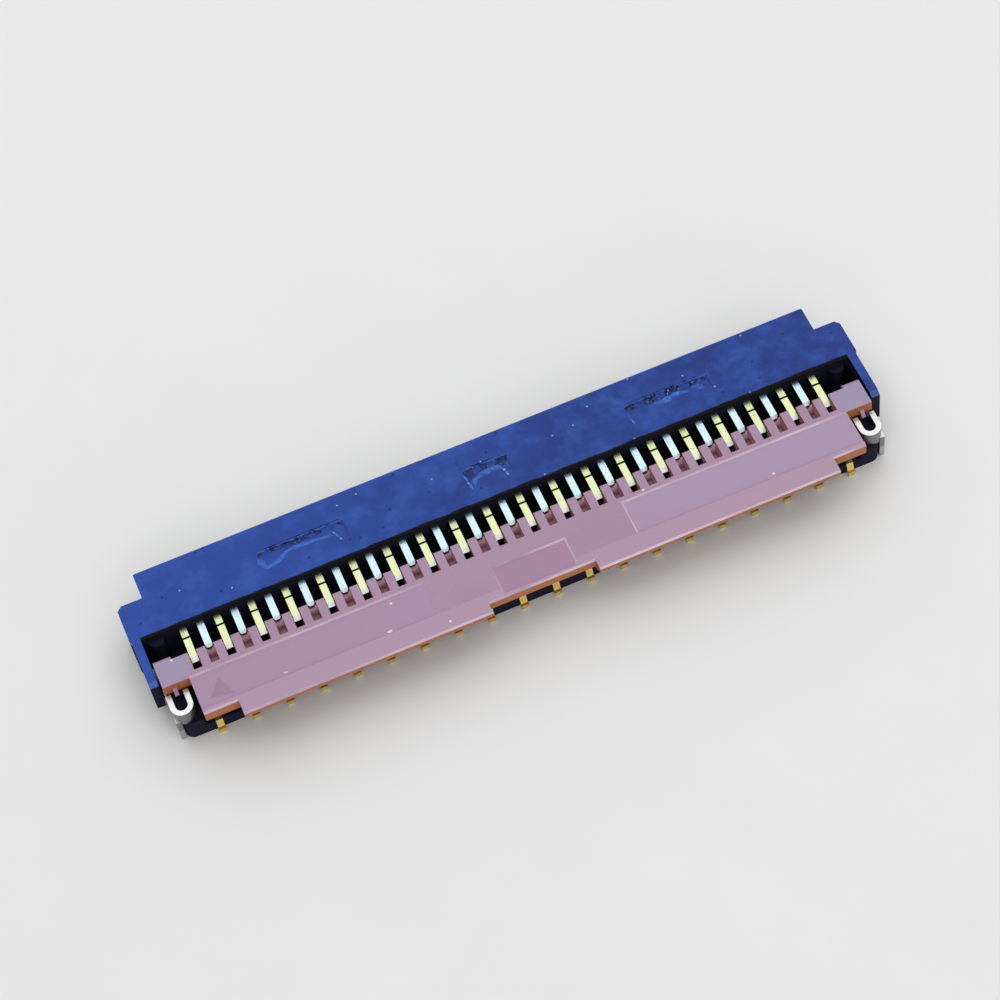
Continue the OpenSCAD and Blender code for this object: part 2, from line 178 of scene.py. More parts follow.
def new_finish(name):
    """An empty material with its shader, output and object coordinates ready."""
    material = bpy.data.materials.new(name)
    material.use_nodes = True
    tree = material.node_tree
    tree.nodes.clear()
    shader = add_node(tree, "ShaderNodeBsdfPrincipled")
    add_node(tree, "ShaderNodeOutputMaterial", inputs={"Surface": (shader, "BSDF")})
    coords = add_node(tree, "ShaderNodeTexCoord")
    return material, tree, shader, coords


def place_and_facing(tree, coords):
    """The spot's own X, Y, Z in metres, and the direction that its surface faces."""
    spot = add_node(tree, "ShaderNodeSeparateXYZ", inputs={0: (coords, "Object")})
    face = add_node(tree, "ShaderNodeSeparateXYZ", inputs={0: (coords, "Normal")})
    return spot, face


def wire(tree, shader, colour, rough, bump):
    """Joins a finished colour, roughness and relief to the shader."""
    tree.links.new(colour.outputs[MIXED], shader.inputs["Base Color"])
    tree.links.new(rough.outputs[0], shader.inputs["Roughness"])
    tree.links.new(bump.outputs[0], shader.inputs["Normal"])


print("half grey in linear light", round(linear("#808080")[0], 3))

# %% [markdown]
# Specks, pits and dust are the same pattern in other sizes and colours. The surface is split into
# random cells, a dot is drawn round the middle of a cell, and only the few cells whose random number is
# high keep theirs. That gives scattered dots of one size without any list of places. The rim and the
# core of a dot are shares of its cell.

# %% Scattered dots
SPECKS = {"colour": "#8aa3dc", "cell_mm": 0.42, "rim": 0.045, "core": 0.03, "channel": "X", "rare": 0.80}
PITS = {"colour": "#14224f", "cell_mm": 0.31, "rim": 0.10, "core": 0.05, "channel": "Y", "rare": 0.74,
        "strength": 0.8, "randomness": 0.9}
DUST = {"colour": "#e9dfec", "cell_mm": 0.75, "rim": 0.035, "core": 0.02, "channel": "X", "rare": 0.7}


def scattered(tree, coords, under, colour, cell_mm, rim, core, channel, rare, strength=1.0, randomness=1.0):
    """Mixes a colour over another: full within the core, none beyond the rim, and only in rare cells."""
    cell = add_node(tree, "ShaderNodeTexVoronoi", {"voronoi_dimensions": "2D"},
                    {"Vector": (coords, "Object"), "Scale": pattern_scale(cell_mm), "Randomness": randomness})
    dot = add_node(tree, "ShaderNodeMapRange", None,
                   {"Value": (cell, "Distance"), "From Min": rim, "From Max": core, "To Max": strength})
    draw = add_node(tree, "ShaderNodeSeparateXYZ", None, {0: (cell, "Color")})
    chosen = add_node(tree, "ShaderNodeMath", ABOVE, {0: (draw, channel), 1: rare})
    mask = add_node(tree, "ShaderNodeMath", TIMES, {0: (dot, 0), 1: (chosen, 0)})
    return add_node(tree, "ShaderNodeMix", RGBA,
                    {FACTOR: (mask, 0), FIRST: (under, MIXED), SECOND: linear(colour)})


for dots in (SPECKS, PITS, DUST):
    print("dots", dots["colour"], round(2 * dots["rim"] * dots["cell_mm"], 3), "mm wide")

# %% [markdown]
# The housing is a glass-filled liquid crystal polymer, moulded black. Its flat upper faces are drawn a
# cloudy blue, a painted sheen for the light that its glossy skin mirrors, while the walls and the
# insides stay nearly black. The clouds come from noise of several sizes: wide ones from the flow of the
# melt, smaller smudges from handling, and small dark blotches that grow stronger to the right.

# %% Cloudy blue painted sheen
CLOUD_MM = 0.9      # one soft cloud in the skin
BLOTCH_MM = 0.17    # small dark blotches
# painted light: the sheen is drawn brighter towards the left end, where more light falls
SHEEN_LEFT_FROM, SHEEN_LEFT_FULL = 1.0 * MM, -6.0 * MM      # along X, the skin brightens to the left
BLOTCH_FROM, BLOTCH_FULL = -2.0 * MM, 4.0 * MM      # along X, the blotches grow to the right


def cloudy_blue_sheen(tree, coords, spot, smudge):
    """Painted sheen: two blues in wide clouds, a brighter one to the left, smudges over them, dark blotches
    to the right.
    """
    cloud = add_node(tree, "ShaderNodeTexNoise", None,
                     {"Vector": (coords, "Object"), "Scale": pattern_scale(CLOUD_MM), "Detail": 3.0})
    wide = add_node(tree, "ShaderNodeMapRange", None,
                    {"Value": (cloud, 0), "From Min": 0.33, "From Max": 0.67})
    blue = add_node(tree, "ShaderNodeMix", RGBA,
                    {FACTOR: (wide, 0), FIRST: linear("#18378a"), SECOND: linear("#1f439a")})
    # painted light: the sheen brightens towards the left end
    sheen_leftwards = add_node(tree, "ShaderNodeMapRange", None,
                         {"Value": (spot, "X"), "From Min": SHEEN_LEFT_FROM, "From Max": SHEEN_LEFT_FULL,
                          "To Max": 0.6})
    sheen_brighter_left = add_node(tree, "ShaderNodeMix", RGBA,
                          {FACTOR: (sheen_leftwards, 0), FIRST: (blue, MIXED), SECOND: linear("#234cac")})
    patch = add_node(tree, "ShaderNodeMapRange", None,
                     {"Value": (smudge, 0), "From Min": 0.45, "From Max": 0.72, "To Max": 0.6})
    smudged = add_node(tree, "ShaderNodeMix", RGBA,
                       {FACTOR: (patch, 0), FIRST: (sheen_brighter_left, MIXED), SECOND: linear("#3760b8")})
    blotch = add_node(tree, "ShaderNodeTexNoise", None,
                      {"Vector": (coords, "Object"), "Scale": pattern_scale(BLOTCH_MM), "Detail": 2.0})
    thin = add_node(tree, "ShaderNodeMapRange", None,
                    {"Value": (blotch, 0), "From Min": 0.40, "From Max": 0.75})
    rightwards = add_node(tree, "ShaderNodeMapRange", None,
                          {"Value": (spot, "X"), "From Min": BLOTCH_FROM, "From Max": BLOTCH_FULL,
                           "To Min": 0.10, "To Max": 0.5})
    thinned = add_node(tree, "ShaderNodeMath", TIMES, {0: (thin, 0), 1: (rightwards, 0)})
    return add_node(tree, "ShaderNodeMix", RGBA,
                    {FACTOR: (thinned, 0), FIRST: (smudged, MIXED), SECOND: linear("#13286a")})


part_length = cad_box[1][0] - cad_box[0][0]
print("clouds along the part", round(part_length * pattern_scale(CLOUD_MM)))

# %% [markdown]
# The finish asks two questions of every spot, which way it faces and how high it lies, and only a high
# spot that faces up gets the painted sheen; lower faces, which lie in shade, stay black. Along the window
# the mask is cut back a little before the edge that the solid has there, which leaves a dark, dull
# strip of painted shade, and the smudges' noise makes its border ragged.

# %% Where the painted sheen lies
# the painted sheen fades out between these depths below the roof's top, as lower faces lie in shade
SHEEN_FROM, SHEEN_FULL = 0.13 * MM, 0.09 * MM     # below the roof's top
# along the window the sheen gives way to a near-black strip of painted shade
SHADED_EDGE = 0.065 * MM                          # width of the dark strip along the window
SHADED_EDGE_FROM, SHADED_EDGE_FULL = 1.3, 1.7                 # its border, in strip widths, with the noise added


def sheen_masks(tree, spot, face, smudge):
    """Painted sheen: skin = (faces up, or lies by the brim) times lies high; shown = skin times lies off the
    painted dark strip.
    """
    up = add_node(tree, "ShaderNodeMapRange", SMOOTH,
                  {"Value": (face, "Z"), "From Min": 0.30, "From Max": 0.97})
    high = add_node(tree, "ShaderNodeMapRange", None,
                    {"Value": (spot, "Z"), "From Min": ROOF_TOP - SHEEN_FROM,
                     "From Max": ROOF_TOP - SHEEN_FULL})
    brim = add_node(tree, "ShaderNodeMapRange", None,
                    {"Value": (spot, "Z"), "From Min": ROOF_TOP - 1.5 * HOLLOW_DEPTH,
                     "From Max": ROOF_TOP - HOLLOW_DEPTH})
    # faces by the roof's brim get the painted sheen too, whichever way they face; skin marks where the
    # painted sheen lies
    lit = add_node(tree, "ShaderNodeMath", LARGER, {0: (up, 0), 1: (brim, 0)})
    skin = add_node(tree, "ShaderNodeMath", TIMES, {0: (lit, 0), 1: (high, 0)})
    ragged = add_node(tree, "ShaderNodeMath", {"operation": "MULTIPLY_ADD"},
                      {0: (smudge, 0), 1: SHADED_EDGE, 2: (spot, "Y")})
    ahead = add_node(tree, "ShaderNodeMapRange", None,
                     {"Value": (ragged, 0), "From Min": WINDOW_Y + SHADED_EDGE_FROM * SHADED_EDGE,
                      "From Max": WINDOW_Y + SHADED_EDGE_FULL * SHADED_EDGE})
    off_centre = add_node(tree, "ShaderNodeMath", DISTANCE, {0: (spot, "X")})
    beside = add_node(tree, "ShaderNodeMath", ABOVE, {0: (off_centre, 0), 1: WINDOW_HALF})
    kept = add_node(tree, "ShaderNodeMath", LARGER, {0: (ahead, 0), 1: (beside, 0)})
    sheen_shown = add_node(tree, "ShaderNodeMath", TIMES, {0: (skin, 0), 1: (kept, 0)})
    return skin, sheen_shown


print("full skin above mm", round((ROOF_TOP - SHEEN_FULL) / MM, 3))

# %% [markdown]
# Where the runner was torn off, the same plastic shows dark pits and pale, stretched fibres; the dark also
# serves as painted shade in the hollows, and the pale as painted highlights along the burrs. The torn pieces
# store two numbers at every point, one for the dark of the pits and the painted shade, one for the pale of
# the fibres and the painted highlights, and this part of the tree turns the two into colour, broken up by the
# fibre grain.

# %% Torn look and painted light in the hollows
PIT_AND_SHADE_DARK, FIBRE_AND_HIGHLIGHT_SOFT, FIBRE_AND_HIGHLIGHT_SHARP = "#070b24", "#5288ea", "#bcd2fa"


def torn_look_and_painted_light(tree, grain, under):
    """Pits and their painted shade mix to near black, fibres and painted highlights to pale blue; the grain
    thins both out.
    """
    fray = add_node(tree, "ShaderNodeMapRange", None,
                    {"Value": (grain, 0), "From Min": 0.36, "From Max": 0.60, "To Min": 0.35})
    dark = add_node(tree, "ShaderNodeAttribute", {"attribute_name": "pit_and_shade"})
    pale = add_node(tree, "ShaderNodeAttribute", {"attribute_name": "fibre"})
    sunk = add_node(tree, "ShaderNodeMath", TIMES, {0: (dark, "Fac"), 1: (fray, 0)})
    fibre_and_highlight_amount = add_node(tree, "ShaderNodeMath", TIMES, {0: (pale, "Fac"), 1: (fray, 0)})
    dented_and_shaded = add_node(tree, "ShaderNodeMix", RGBA,
                      {FACTOR: (sunk, 0), FIRST: (under, MIXED), SECOND: linear(PIT_AND_SHADE_DARK)})
    sharp = add_node(tree, "ShaderNodeMapRange", None,
                     {"Value": (fibre_and_highlight_amount, 0), "From Min": 0.55, "From Max": 0.9})
    fibre_and_highlight_colour = add_node(tree, "ShaderNodeMix", RGBA,
                         {FACTOR: (sharp, 0), FIRST: linear(FIBRE_AND_HIGHLIGHT_SOFT), SECOND: linear(FIBRE_AND_HIGHLIGHT_SHARP)})
    spread = add_node(tree, "ShaderNodeMapRange", None, {"Value": (fibre_and_highlight_amount, 0), "From Max": 0.85})
    return add_node(tree, "ShaderNodeMix", RGBA,
                    {FACTOR: (spread, 0), FIRST: (dented_and_shaded, MIXED), SECOND: (fibre_and_highlight_colour, MIXED)})


print("a sharp fibre over a pit, in blue light", round(linear(FIBRE_AND_HIGHLIGHT_SHARP)[2] / linear(PIT_AND_SHADE_DARK)[2]), "to 1")

# %% [markdown]
# Now the parts come together. Fibre ends show as tiny pale specks and pores as dark pits. Bevels get a
# painted highlight, paler than the flat skin, where their rounding would catch the light, and the upright rim
# just under the roof's edge gets the palest, painted light against its shade. The bare plastic is dull, the
# skin has a soft gloss.

# %% Housing finish
SMUDGE_MM = 0.45            # handling smudges, a few dozen on the roof
GRAIN_MM = 0.05             # fibre grain; the real one is finer, drawn this coarse so that it shows at all
GRAIN_RELIEF = 0.004 * MM   # height of the grain, for both plastics
BARE_ROUGHNESS = 0.85
HOUSING_SPECULAR = 0.25     # filled plastic mirrors less than clear plastic


def housing_polymer(name, torn=False):
    material, tree, shader, coords = new_finish(name)
    spot, face = place_and_facing(tree, coords)
    smudge = add_node(tree, "ShaderNodeTexNoise", None,
                      {"Vector": (coords, "Object"), "Scale": pattern_scale(SMUDGE_MM), "Detail": 4.0,
                       "Roughness": 0.6})
    grain = add_node(tree, "ShaderNodeTexNoise", None,
                     {"Vector": (coords, "Object"), "Scale": pattern_scale(GRAIN_MM), "Detail": 2.0})
    skin, sheen_shown = sheen_masks(tree, spot, face, smudge)
    specked = scattered(tree, coords, cloudy_blue_sheen(tree, coords, spot, smudge), **SPECKS)
    pitted = scattered(tree, coords, specked, **PITS)
    if torn:
        torn_or_highlit = torn_look_and_painted_light(tree, grain, pitted)
    else:
        # painted highlights: bevels paler, upright faces by the brim palest
        slope = add_node(tree, "ShaderNodeMapRange", None,
                         {"Value": (face, "Z"), "From Min": 0.93, "From Max": 0.80, "To Max": 0.6})
        bevel_highlit = add_node(tree, "ShaderNodeMix", RGBA,
                            {FACTOR: (slope, 0), FIRST: (pitted, MIXED), SECOND: linear("#5c7cc8")})
        upright_rim_highlight = add_node(tree, "ShaderNodeMapRange", None,
                           {"Value": (face, "Z"), "From Min": 0.5, "From Max": 0.2})
        torn_or_highlit = add_node(tree, "ShaderNodeMix", RGBA,
                         {FACTOR: (upright_rim_highlight, 0), FIRST: (bevel_highlit, MIXED), SECOND: linear("#7d9be6")})
    # walls keep the black; the strip along the window is painted near-black shade
    black_and_edge_shade = add_node(tree, "ShaderNodeMix", RGBA,
                    {FACTOR: (skin, 0), FIRST: linear("#10142a"), SECOND: linear("#04050a")})
    colour = add_node(tree, "ShaderNodeMix", RGBA,
                      {FACTOR: (sheen_shown, 0), FIRST: (black_and_edge_shade, MIXED), SECOND: (torn_or_highlit, MIXED)})
    gloss = add_node(tree, "ShaderNodeMapRange", None,
                     {"Value": (smudge, 0), "From Min": 0.3, "From Max": 0.7, "To Min": 0.42, "To Max": 0.60})
    rough = add_node(tree, "ShaderNodeMix", {"data_type": "FLOAT"},
                     {FACTOR: (sheen_shown, 0), 2: BARE_ROUGHNESS, 3: (gloss, 0)})
    bump = add_node(tree, "ShaderNodeBump", None,
                    {"Strength": 0.35, "Distance": GRAIN_RELIEF, "Height": (grain, 0)})
    wire(tree, shader, colour, rough, bump)
    shader.inputs["Specular IOR Level"].default_value = HOUSING_SPECULAR
    return material


housing_finish = housing_polymer("liquid_crystal_polymer_black")
print("made", housing_finish.name)

# %% [markdown]
# The lever is moulded from the same family of plastic in a brown grade. Its top is drawn lilac, a painted
# reflection of the sky, and its sides tan. Its skin isn't even: the sunk panels turn from pink on
# the left to blue on the right, the middle one is pinker, the strip along the rear edge is rubbed pale
# and the end lugs are cooler. Each of these zones is a range of X, Y or Z in the lever's own frame.

# %% Lever skin
PINK_MM = 1.6               # slow change from lilac to pink along the lever
MID_PANEL = 1.0 * MM        # the middle panel lies within this of the centre, the others beyond
LUG_FROM, LUG_FULL = 5.65 * MM, 5.95 * MM       # the end lugs begin here
STRIP_Y = RIDGE_Y - 0.68 * MM                   # behind this lies the raised strip along the rear edge
PANEL_TURN = 3.0 * MM       # the panels' skin turns from pink to blue between minus and plus this
PANEL_SHARE = 0.7           # how far a panel takes on its own tint
ZONE_BLUR = 0.01 * MM       # half the soft border of a zone


def lever_skin(tree, coords, spot, cloud, grain, tints):
    """Two tints in wide clouds with pale grain, then lugs, rear strip, panels and dust mixed over in turn."""
    lilac, pink, panel_left, panel_right = [linear(tint) for tint in tints]
    wide = add_node(tree, "ShaderNodeMapRange", None,
                    {"Value": (cloud, 0), "From Min": 0.35, "From Max": 0.65})
    top = add_node(tree, "ShaderNodeMix", RGBA, {FACTOR: (wide, 0), FIRST: lilac, SECOND: pink})
    pale = add_node(tree, "ShaderNodeMapRange", None,
                    {"Value": (grain, 0), "From Min": 0.58, "From Max": 0.75, "To Max": 0.35})
    grained = add_node(tree, "ShaderNodeMix", RGBA,
                       {FACTOR: (pale, 0), FIRST: (top, MIXED), SECOND: linear("#bda3bf")})
    off_centre = add_node(tree, "ShaderNodeMath", DISTANCE, {0: (spot, "X")})
    lug = add_node(tree, "ShaderNodeMapRange", None,
                   {"Value": (off_centre, 0), "From Min": LUG_FROM, "From Max": LUG_FULL, "To Max": 0.8})
    ledge = add_node(tree, "ShaderNodeMapRange", None,
                     {"Value": (spot, "Y"), "From Min": RIDGE_Y, "From Max": RIDGE_Y + 2 * ZONE_BLUR})
    end = add_node(tree, "ShaderNodeMath", TIMES, {0: (lug, 0), 1: (ledge, 0)})
    cooled = add_node(tree, "ShaderNodeMix", RGBA,
                      {FACTOR: (end, 0), FIRST: (grained, MIXED), SECOND: linear("#a197b8")})
    strip = add_node(tree, "ShaderNodeMapRange", None,
                     {"Value": (spot, "Y"), "From Min": STRIP_Y + ZONE_BLUR, "From Max": STRIP_Y - ZONE_BLUR,
                      "To Max": 0.33})
    paled = add_node(tree, "ShaderNodeMix", RGBA,
                      {FACTOR: (strip, 0), FIRST: (cooled, MIXED), SECOND: linear("#c2a6bd")})
    sunk = add_node(tree, "ShaderNodeMath", BELOW, {0: (spot, "Z"), 1: PANEL_Z + 0.5 * PANEL_DROP})
    rightwards = add_node(tree, "ShaderNodeMapRange", None,
                          {"Value": (spot, "X"), "From Min": -PANEL_TURN, "From Max": PANEL_TURN})
    panel = add_node(tree, "ShaderNodeMix", RGBA,
                     {FACTOR: (rightwards, 0), FIRST: panel_left, SECOND: panel_right})
    tint = add_node(tree, "ShaderNodeMath", TIMES, {0: (sunk, 0), 1: PANEL_SHARE})
    panelled = add_node(tree, "ShaderNodeMix", RGBA,
                        {FACTOR: (tint, 0), FIRST: (paled, MIXED), SECOND: (panel, MIXED)})
    central = add_node(tree, "ShaderNodeMath", BELOW, {0: (off_centre, 0), 1: MID_PANEL})
    middle = add_node(tree, "ShaderNodeMath", TIMES, {0: (central, 0), 1: (sunk, 0)})
    tinted = add_node(tree, "ShaderNodeMix", RGBA,
                      {FACTOR: (middle, 0), FIRST: (panelled, MIXED), SECOND: linear("#aa88a3")})
    return scattered(tree, coords, tinted, **DUST)


print("rear strip behind mm", round(STRIP_Y / MM, 3))

# %% [markdown]
# The sunk panels end in short slopes, and the lever's top edges are bevelled. Such an edge gets a painted
# highlight, a pale line where its rounding would catch the light, broken here and there. A slope is known
# by its direction: neither level nor steep, right under the top, and not turned to the far side, where no
# light falls.

# %% Painted rim highlights
RIM_FROM, RIM_FULL = 1.4 * PANEL_DROP, 1.1 * PANEL_DROP     # below the lever's top


def rim_highlight(tree, spot, face, cloud):
    """Painted highlight: not level x not steep x right under the top x not turned away x a break-up that
    follows the clouds.
    """
    lip = add_node(tree, "ShaderNodeMapRange", None,
                   {"Value": (spot, "Z"), "From Min": LEVER_TOP - RIM_FROM, "From Max": LEVER_TOP - RIM_FULL})
    slope = add_node(tree, "ShaderNodeMapRange", None,
                     {"Value": (face, "Z"), "From Min": 0.93, "From Max": 0.80})
    steep = add_node(tree, "ShaderNodeMapRange", None,
                     {"Value": (face, "Z"), "From Min": 0.45, "From Max": 0.60})
    near = add_node(tree, "ShaderNodeMapRange", None,
                    {"Value": (face, "Y"), "From Min": 0.4, "From Max": 0.0})
    broken_up = add_node(tree, "ShaderNodeMapRange", None,
                    {"Value": (cloud, 0), "From Min": 0.38, "From Max": 0.64, "To Min": 0.15, "To Max": 0.9})
    shine = add_node(tree, "ShaderNodeMath", TIMES, {0: (slope, 0), 1: (steep, 0)})
    rim = add_node(tree, "ShaderNodeMath", TIMES, {0: (shine, 0), 1: (lip, 0)})
    front_rim = add_node(tree, "ShaderNodeMath", TIMES, {0: (rim, 0), 1: (near, 0)})
    return add_node(tree, "ShaderNodeMath", TIMES, {0: (front_rim, 0), 1: (broken_up, 0)})


print("rims above mm", round((LEVER_TOP - RIM_FROM) / MM, 3))

# %% [markdown]
# The lever's finish joins the skin on top, the tan sides, a duller brown underneath and the painted
# highlights on the rims.
# Inside the slots the colour is written paler, because the shade in there brings it down to a dark pink.

# %% Lever finish
LEVER_GRAIN_MM = 0.06       # drawn coarser than real, as on the housing
SLOT_FROM, SLOT_FULL = 0.04 * MM, 0.12 * MM         # below the lever's top
LEDGE_FROM, LEDGE_FULL = 0.03 * MM, 0.01 * MM       # behind the ridge
LEVER_SPECULAR = 0.3


def lever_polymer(name, tints):
    material, tree, shader, coords = new_finish(name)
    spot, face = place_and_facing(tree, coords)
    cloud = add_node(tree, "ShaderNodeTexNoise", None,
                     {"Vector": (coords, "Object"), "Scale": pattern_scale(PINK_MM), "Detail": 4.0})
    grain = add_node(tree, "ShaderNodeTexNoise", None,
                     {"Vector": (coords, "Object"), "Scale": pattern_scale(LEVER_GRAIN_MM), "Detail": 3.0})
    up = add_node(tree, "ShaderNodeMapRange", SMOOTH,
                  {"Value": (face, "Z"), "From Min": 0.25, "From Max": 0.68})
    under = add_node(tree, "ShaderNodeMapRange", None,
                     {"Value": (face, "Z"), "From Min": -0.2, "From Max": -0.7})
    brown = add_node(tree, "ShaderNodeMix", RGBA,
                     {FACTOR: (under, 0), FIRST: linear("#b37049"), SECOND: linear("#9c7767")})
    dusty = lever_skin(tree, coords, spot, cloud, grain, tints)
    # the top's lilac tints are a painted reflection of the sky; the sides keep the tan brown
    body = add_node(tree, "ShaderNodeMix", RGBA,
                    {FACTOR: (up, 0), FIRST: (brown, MIXED), SECOND: (dusty, MIXED)})
    rim_highlight_mask = rim_highlight(tree, spot, face, cloud)
    # pale painted highlight along the rims
    skin = add_node(tree, "ShaderNodeMix", RGBA,
                    {FACTOR: (rim_highlight_mask, 0), FIRST: (body, MIXED), SECOND: linear("#e4d4e4")})
    deep = add_node(tree, "ShaderNodeMapRange", None,
                    {"Value": (spot, "Z"), "From Min": LEVER_TOP - SLOT_FROM,
                     "From Max": LEVER_TOP - SLOT_FULL})
    beyond = add_node(tree, "ShaderNodeMapRange", None,
                      {"Value": (spot, "Y"), "From Min": RIDGE_Y - LEDGE_FROM,
                       "From Max": RIDGE_Y - LEDGE_FULL})
    inside = add_node(tree, "ShaderNodeMath", TIMES, {0: (deep, 0), 1: (beyond, 0)})
    colour = add_node(tree, "ShaderNodeMix", RGBA,
                      {FACTOR: (inside, 0), FIRST: (skin, MIXED), SECOND: linear("#c8a0ac")})
    rough = add_node(tree, "ShaderNodeMapRange", None,
                     {"Value": (grain, 0), "From Min": 0.3, "From Max": 0.7, "To Min": 0.44, "To Max": 0.58})
    bump = add_node(tree, "ShaderNodeBump", None,
                    {"Strength": 0.3, "Distance": GRAIN_RELIEF, "Height": (grain, 0)})
    wire(tree, shader, colour, rough, bump)
    shader.inputs["Specular IOR Level"].default_value = LEVER_SPECULAR
    return material


LEVER_TINTS = ("#ac91ac", "#ac8ba4", "#ae90ae", "#b09ab9")     # lilac, pink, left panel, right panel
lever_finish = lever_polymer("liquid_crystal_polymer_brown", LEVER_TINTS)
print("made", lever_finish.name)

# %% [markdown]
# Contacts are blanked from rolled bronze strip and then plated. Rolling leaves hair lines along the
# strip, upright faces are drawn much darker, slightly tilted faces such as the tips are drawn paler as a
# painted reflection, and the solder tails are drawn warm and bright, a painted reflection of the lever's
# tan sides. Under the lever lies a well where hardly any light gets in, so the metal down there is drawn
# nearly black. One recipe serves gold, tin and the fittings with other colours.

# %% Plated metal finishes
ROLL_LINE_MM = 0.02         # width of a rolling line; real ones are finer, drawn this coarse to show
ROLL_LENGTH = 14.0          # how many times longer than wide a line is
ROLL_RELIEF = 0.002 * MM
TAIL_FROM, TAIL_FULL = 0.30 * MM, 0.25 * MM     # below this a contact is solder tail
WELL_Y = -0.30 * MM         # middle of the well under the lever
WELL_HALF = 0.85 * MM
WELL_TOP, WELL_BLACK = 0.78 * MM, 0.60 * MM
SMOOTHER, ROUGHER = 0.06, 0.08      # how far the roughness swings about its mean


def plated(name, colours, roughness, in_well=True):
    """Level faces take the first colour, tilted ones such as the tips the second as a painted reflection,
    upright faces the third and tails the fourth.
    """
    top, tip, side, tail = [linear(colour) for colour in colours]
    material, tree, shader, coords = new_finish(name)
    spot, face = place_and_facing(tree, coords)
    up = add_node(tree, "ShaderNodeMapRange", SMOOTH,
                  {"Value": (face, "Z"), "From Min": 0.05, "From Max": 0.75})
    low = add_node(tree, "ShaderNodeMapRange", None,
                   {"Value": (spot, "Z"), "From Min": TAIL_FROM, "From Max": TAIL_FULL})
    # tilted faces such as the tips get the paler colour, a painted reflection
    paled = add_node(tree, "ShaderNodeMapRange", None,
                      {"Value": (face, "Z"), "From Min": 0.97, "From Max": 0.90})
    bright = add_node(tree, "ShaderNodeMix", RGBA, {FACTOR: (paled, 0), FIRST: top, SECOND: tip})
    arm = add_node(tree, "ShaderNodeMix", RGBA, {FACTOR: (up, 0), FIRST: side, SECOND: (bright, MIXED)})
    # tails: drawn warm and bright, a painted reflection of the lever's tan sides
    tailed = add_node(tree, "ShaderNodeMix", RGBA, {FACTOR: (low, 0), FIRST: (arm, MIXED), SECOND: tail})
    from_well = add_node(tree, "ShaderNodeMath", {"operation": "SUBTRACT"}, {0: (spot, "Y"), 1: WELL_Y})
    apart = add_node(tree, "ShaderNodeMath", DISTANCE, {0: (from_well, 0)})
    within = add_node(tree, "ShaderNodeMath", BELOW, {0: (apart, 0), 1: WELL_HALF if in_well else 0.0})
    deep = add_node(tree, "ShaderNodeMapRange", None,
                    {"Value": (spot, "Z"), "From Min": WELL_TOP, "From Max": WELL_BLACK, "To Max": 0.92})
    shaded = add_node(tree, "ShaderNodeMath", TIMES, {0: (within, 0), 1: (deep, 0)})
    plate = add_node(tree, "ShaderNodeMix", RGBA,
                     {FACTOR: (shaded, 0), FIRST: (tailed, MIXED), SECOND: linear("#0a0a0b")})
    stretch = add_node(tree, "ShaderNodeMapping", None,
                       {"Vector": (coords, "Object"), "Scale": (1.0, 1 / ROLL_LENGTH, 1.0)})
    lines = add_node(tree, "ShaderNodeTexNoise", None,
                     {"Vector": (stretch, 0), "Scale": pattern_scale(ROLL_LINE_MM), "Detail": 2.0})
    broken_up = add_node(tree, "ShaderNodeMapRange", None,
                    {"Value": (lines, 0), "From Min": 0.55, "From Max": 0.75, "To Max": 0.25})
    colour = add_node(tree, "ShaderNodeMix", RGBA,
                      {FACTOR: (broken_up, 0), FIRST: (plate, MIXED), SECOND: side})
    rough = add_node(tree, "ShaderNodeMapRange", None,
                     {"Value": (lines, 0), "From Min": 0.3, "From Max": 0.7,
                      "To Min": roughness - SMOOTHER, "To Max": roughness + ROUGHER})
    bump = add_node(tree, "ShaderNodeBump", None,
                    {"Strength": 0.25, "Distance": ROLL_RELIEF, "Height": (lines, 0)})
    wire(tree, shader, colour, rough, bump)
    shader.inputs["Metallic"].default_value = 1.0
    return material


# Gold over nickel is a pale yellow with tails painted warm; tin is a cool white; the fittings' tin is
# neutral; each second colour is a painted reflection.
GOLD = ("#d8dfb2", "#e2ece4", "#3c361c", "#f2d886")
TIN = ("#cbe4f0", "#dcecf0", "#3a434c", "#c4ccd0")
FITTING_TIN = ("#e0e2e0", "#e0e2e0", "#8b8c8e", "#b9b9b6")
CONTACT_ROUGHNESS, FITTING_ROUGHNESS = 0.36, 0.32
gold_finish = plated("gold_plated_bronze", GOLD, CONTACT_ROUGHNESS)
tin_finish = plated("tin_plated_bronze", TIN, CONTACT_ROUGHNESS)
fitting_finish = plated("tin_plated_brass_strip", FITTING_TIN, FITTING_ROUGHNESS, in_well=False)
print("made", gold_finish.name, tin_finish.name, fitting_finish.name)


# %% [markdown]
# Each solid from the frame now gets its finish. The odd contacts are gold and the even ones are pale,
# as they alternate along the row.

# %% Dress the solids
def dress(node, material):
    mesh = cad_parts[node].data
    mesh.materials.clear()
    mesh.materials.append(material)


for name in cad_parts:
    if name == "housing":
        dress(name, housing_finish)
    elif name == "actuator":
        dress(name, lever_finish)
    elif name.startswith("fitting"):
        dress(name, fitting_finish)
    else:
        dress(name, gold_finish if int(name[-2:]) % 2 else tin_finish)
print("dressed", len(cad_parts))

# %% [markdown]
# The added pieces are surfaces drawn with whole arrays: a grid of points in two parameters becomes a
# mesh by joining each four neighbours. Points that fall together, at a pole or a seam, are welded, so
# that nothing stays open there.

# %% Grid meshes
WELD = 1e-5 * MM


def grid_quads(rows, columns, first):
    """Corner numbers of the faces between neighbours on a grid whose first point has the given number."""
    index = first + np.arange(rows * columns).reshape(rows, columns)
    corners = [index[:-1, :-1], index[:-1, 1:], index[1:, 1:], index[1:, :-1]]
    return np.stack(corners, axis=-1).reshape(-1, 4)


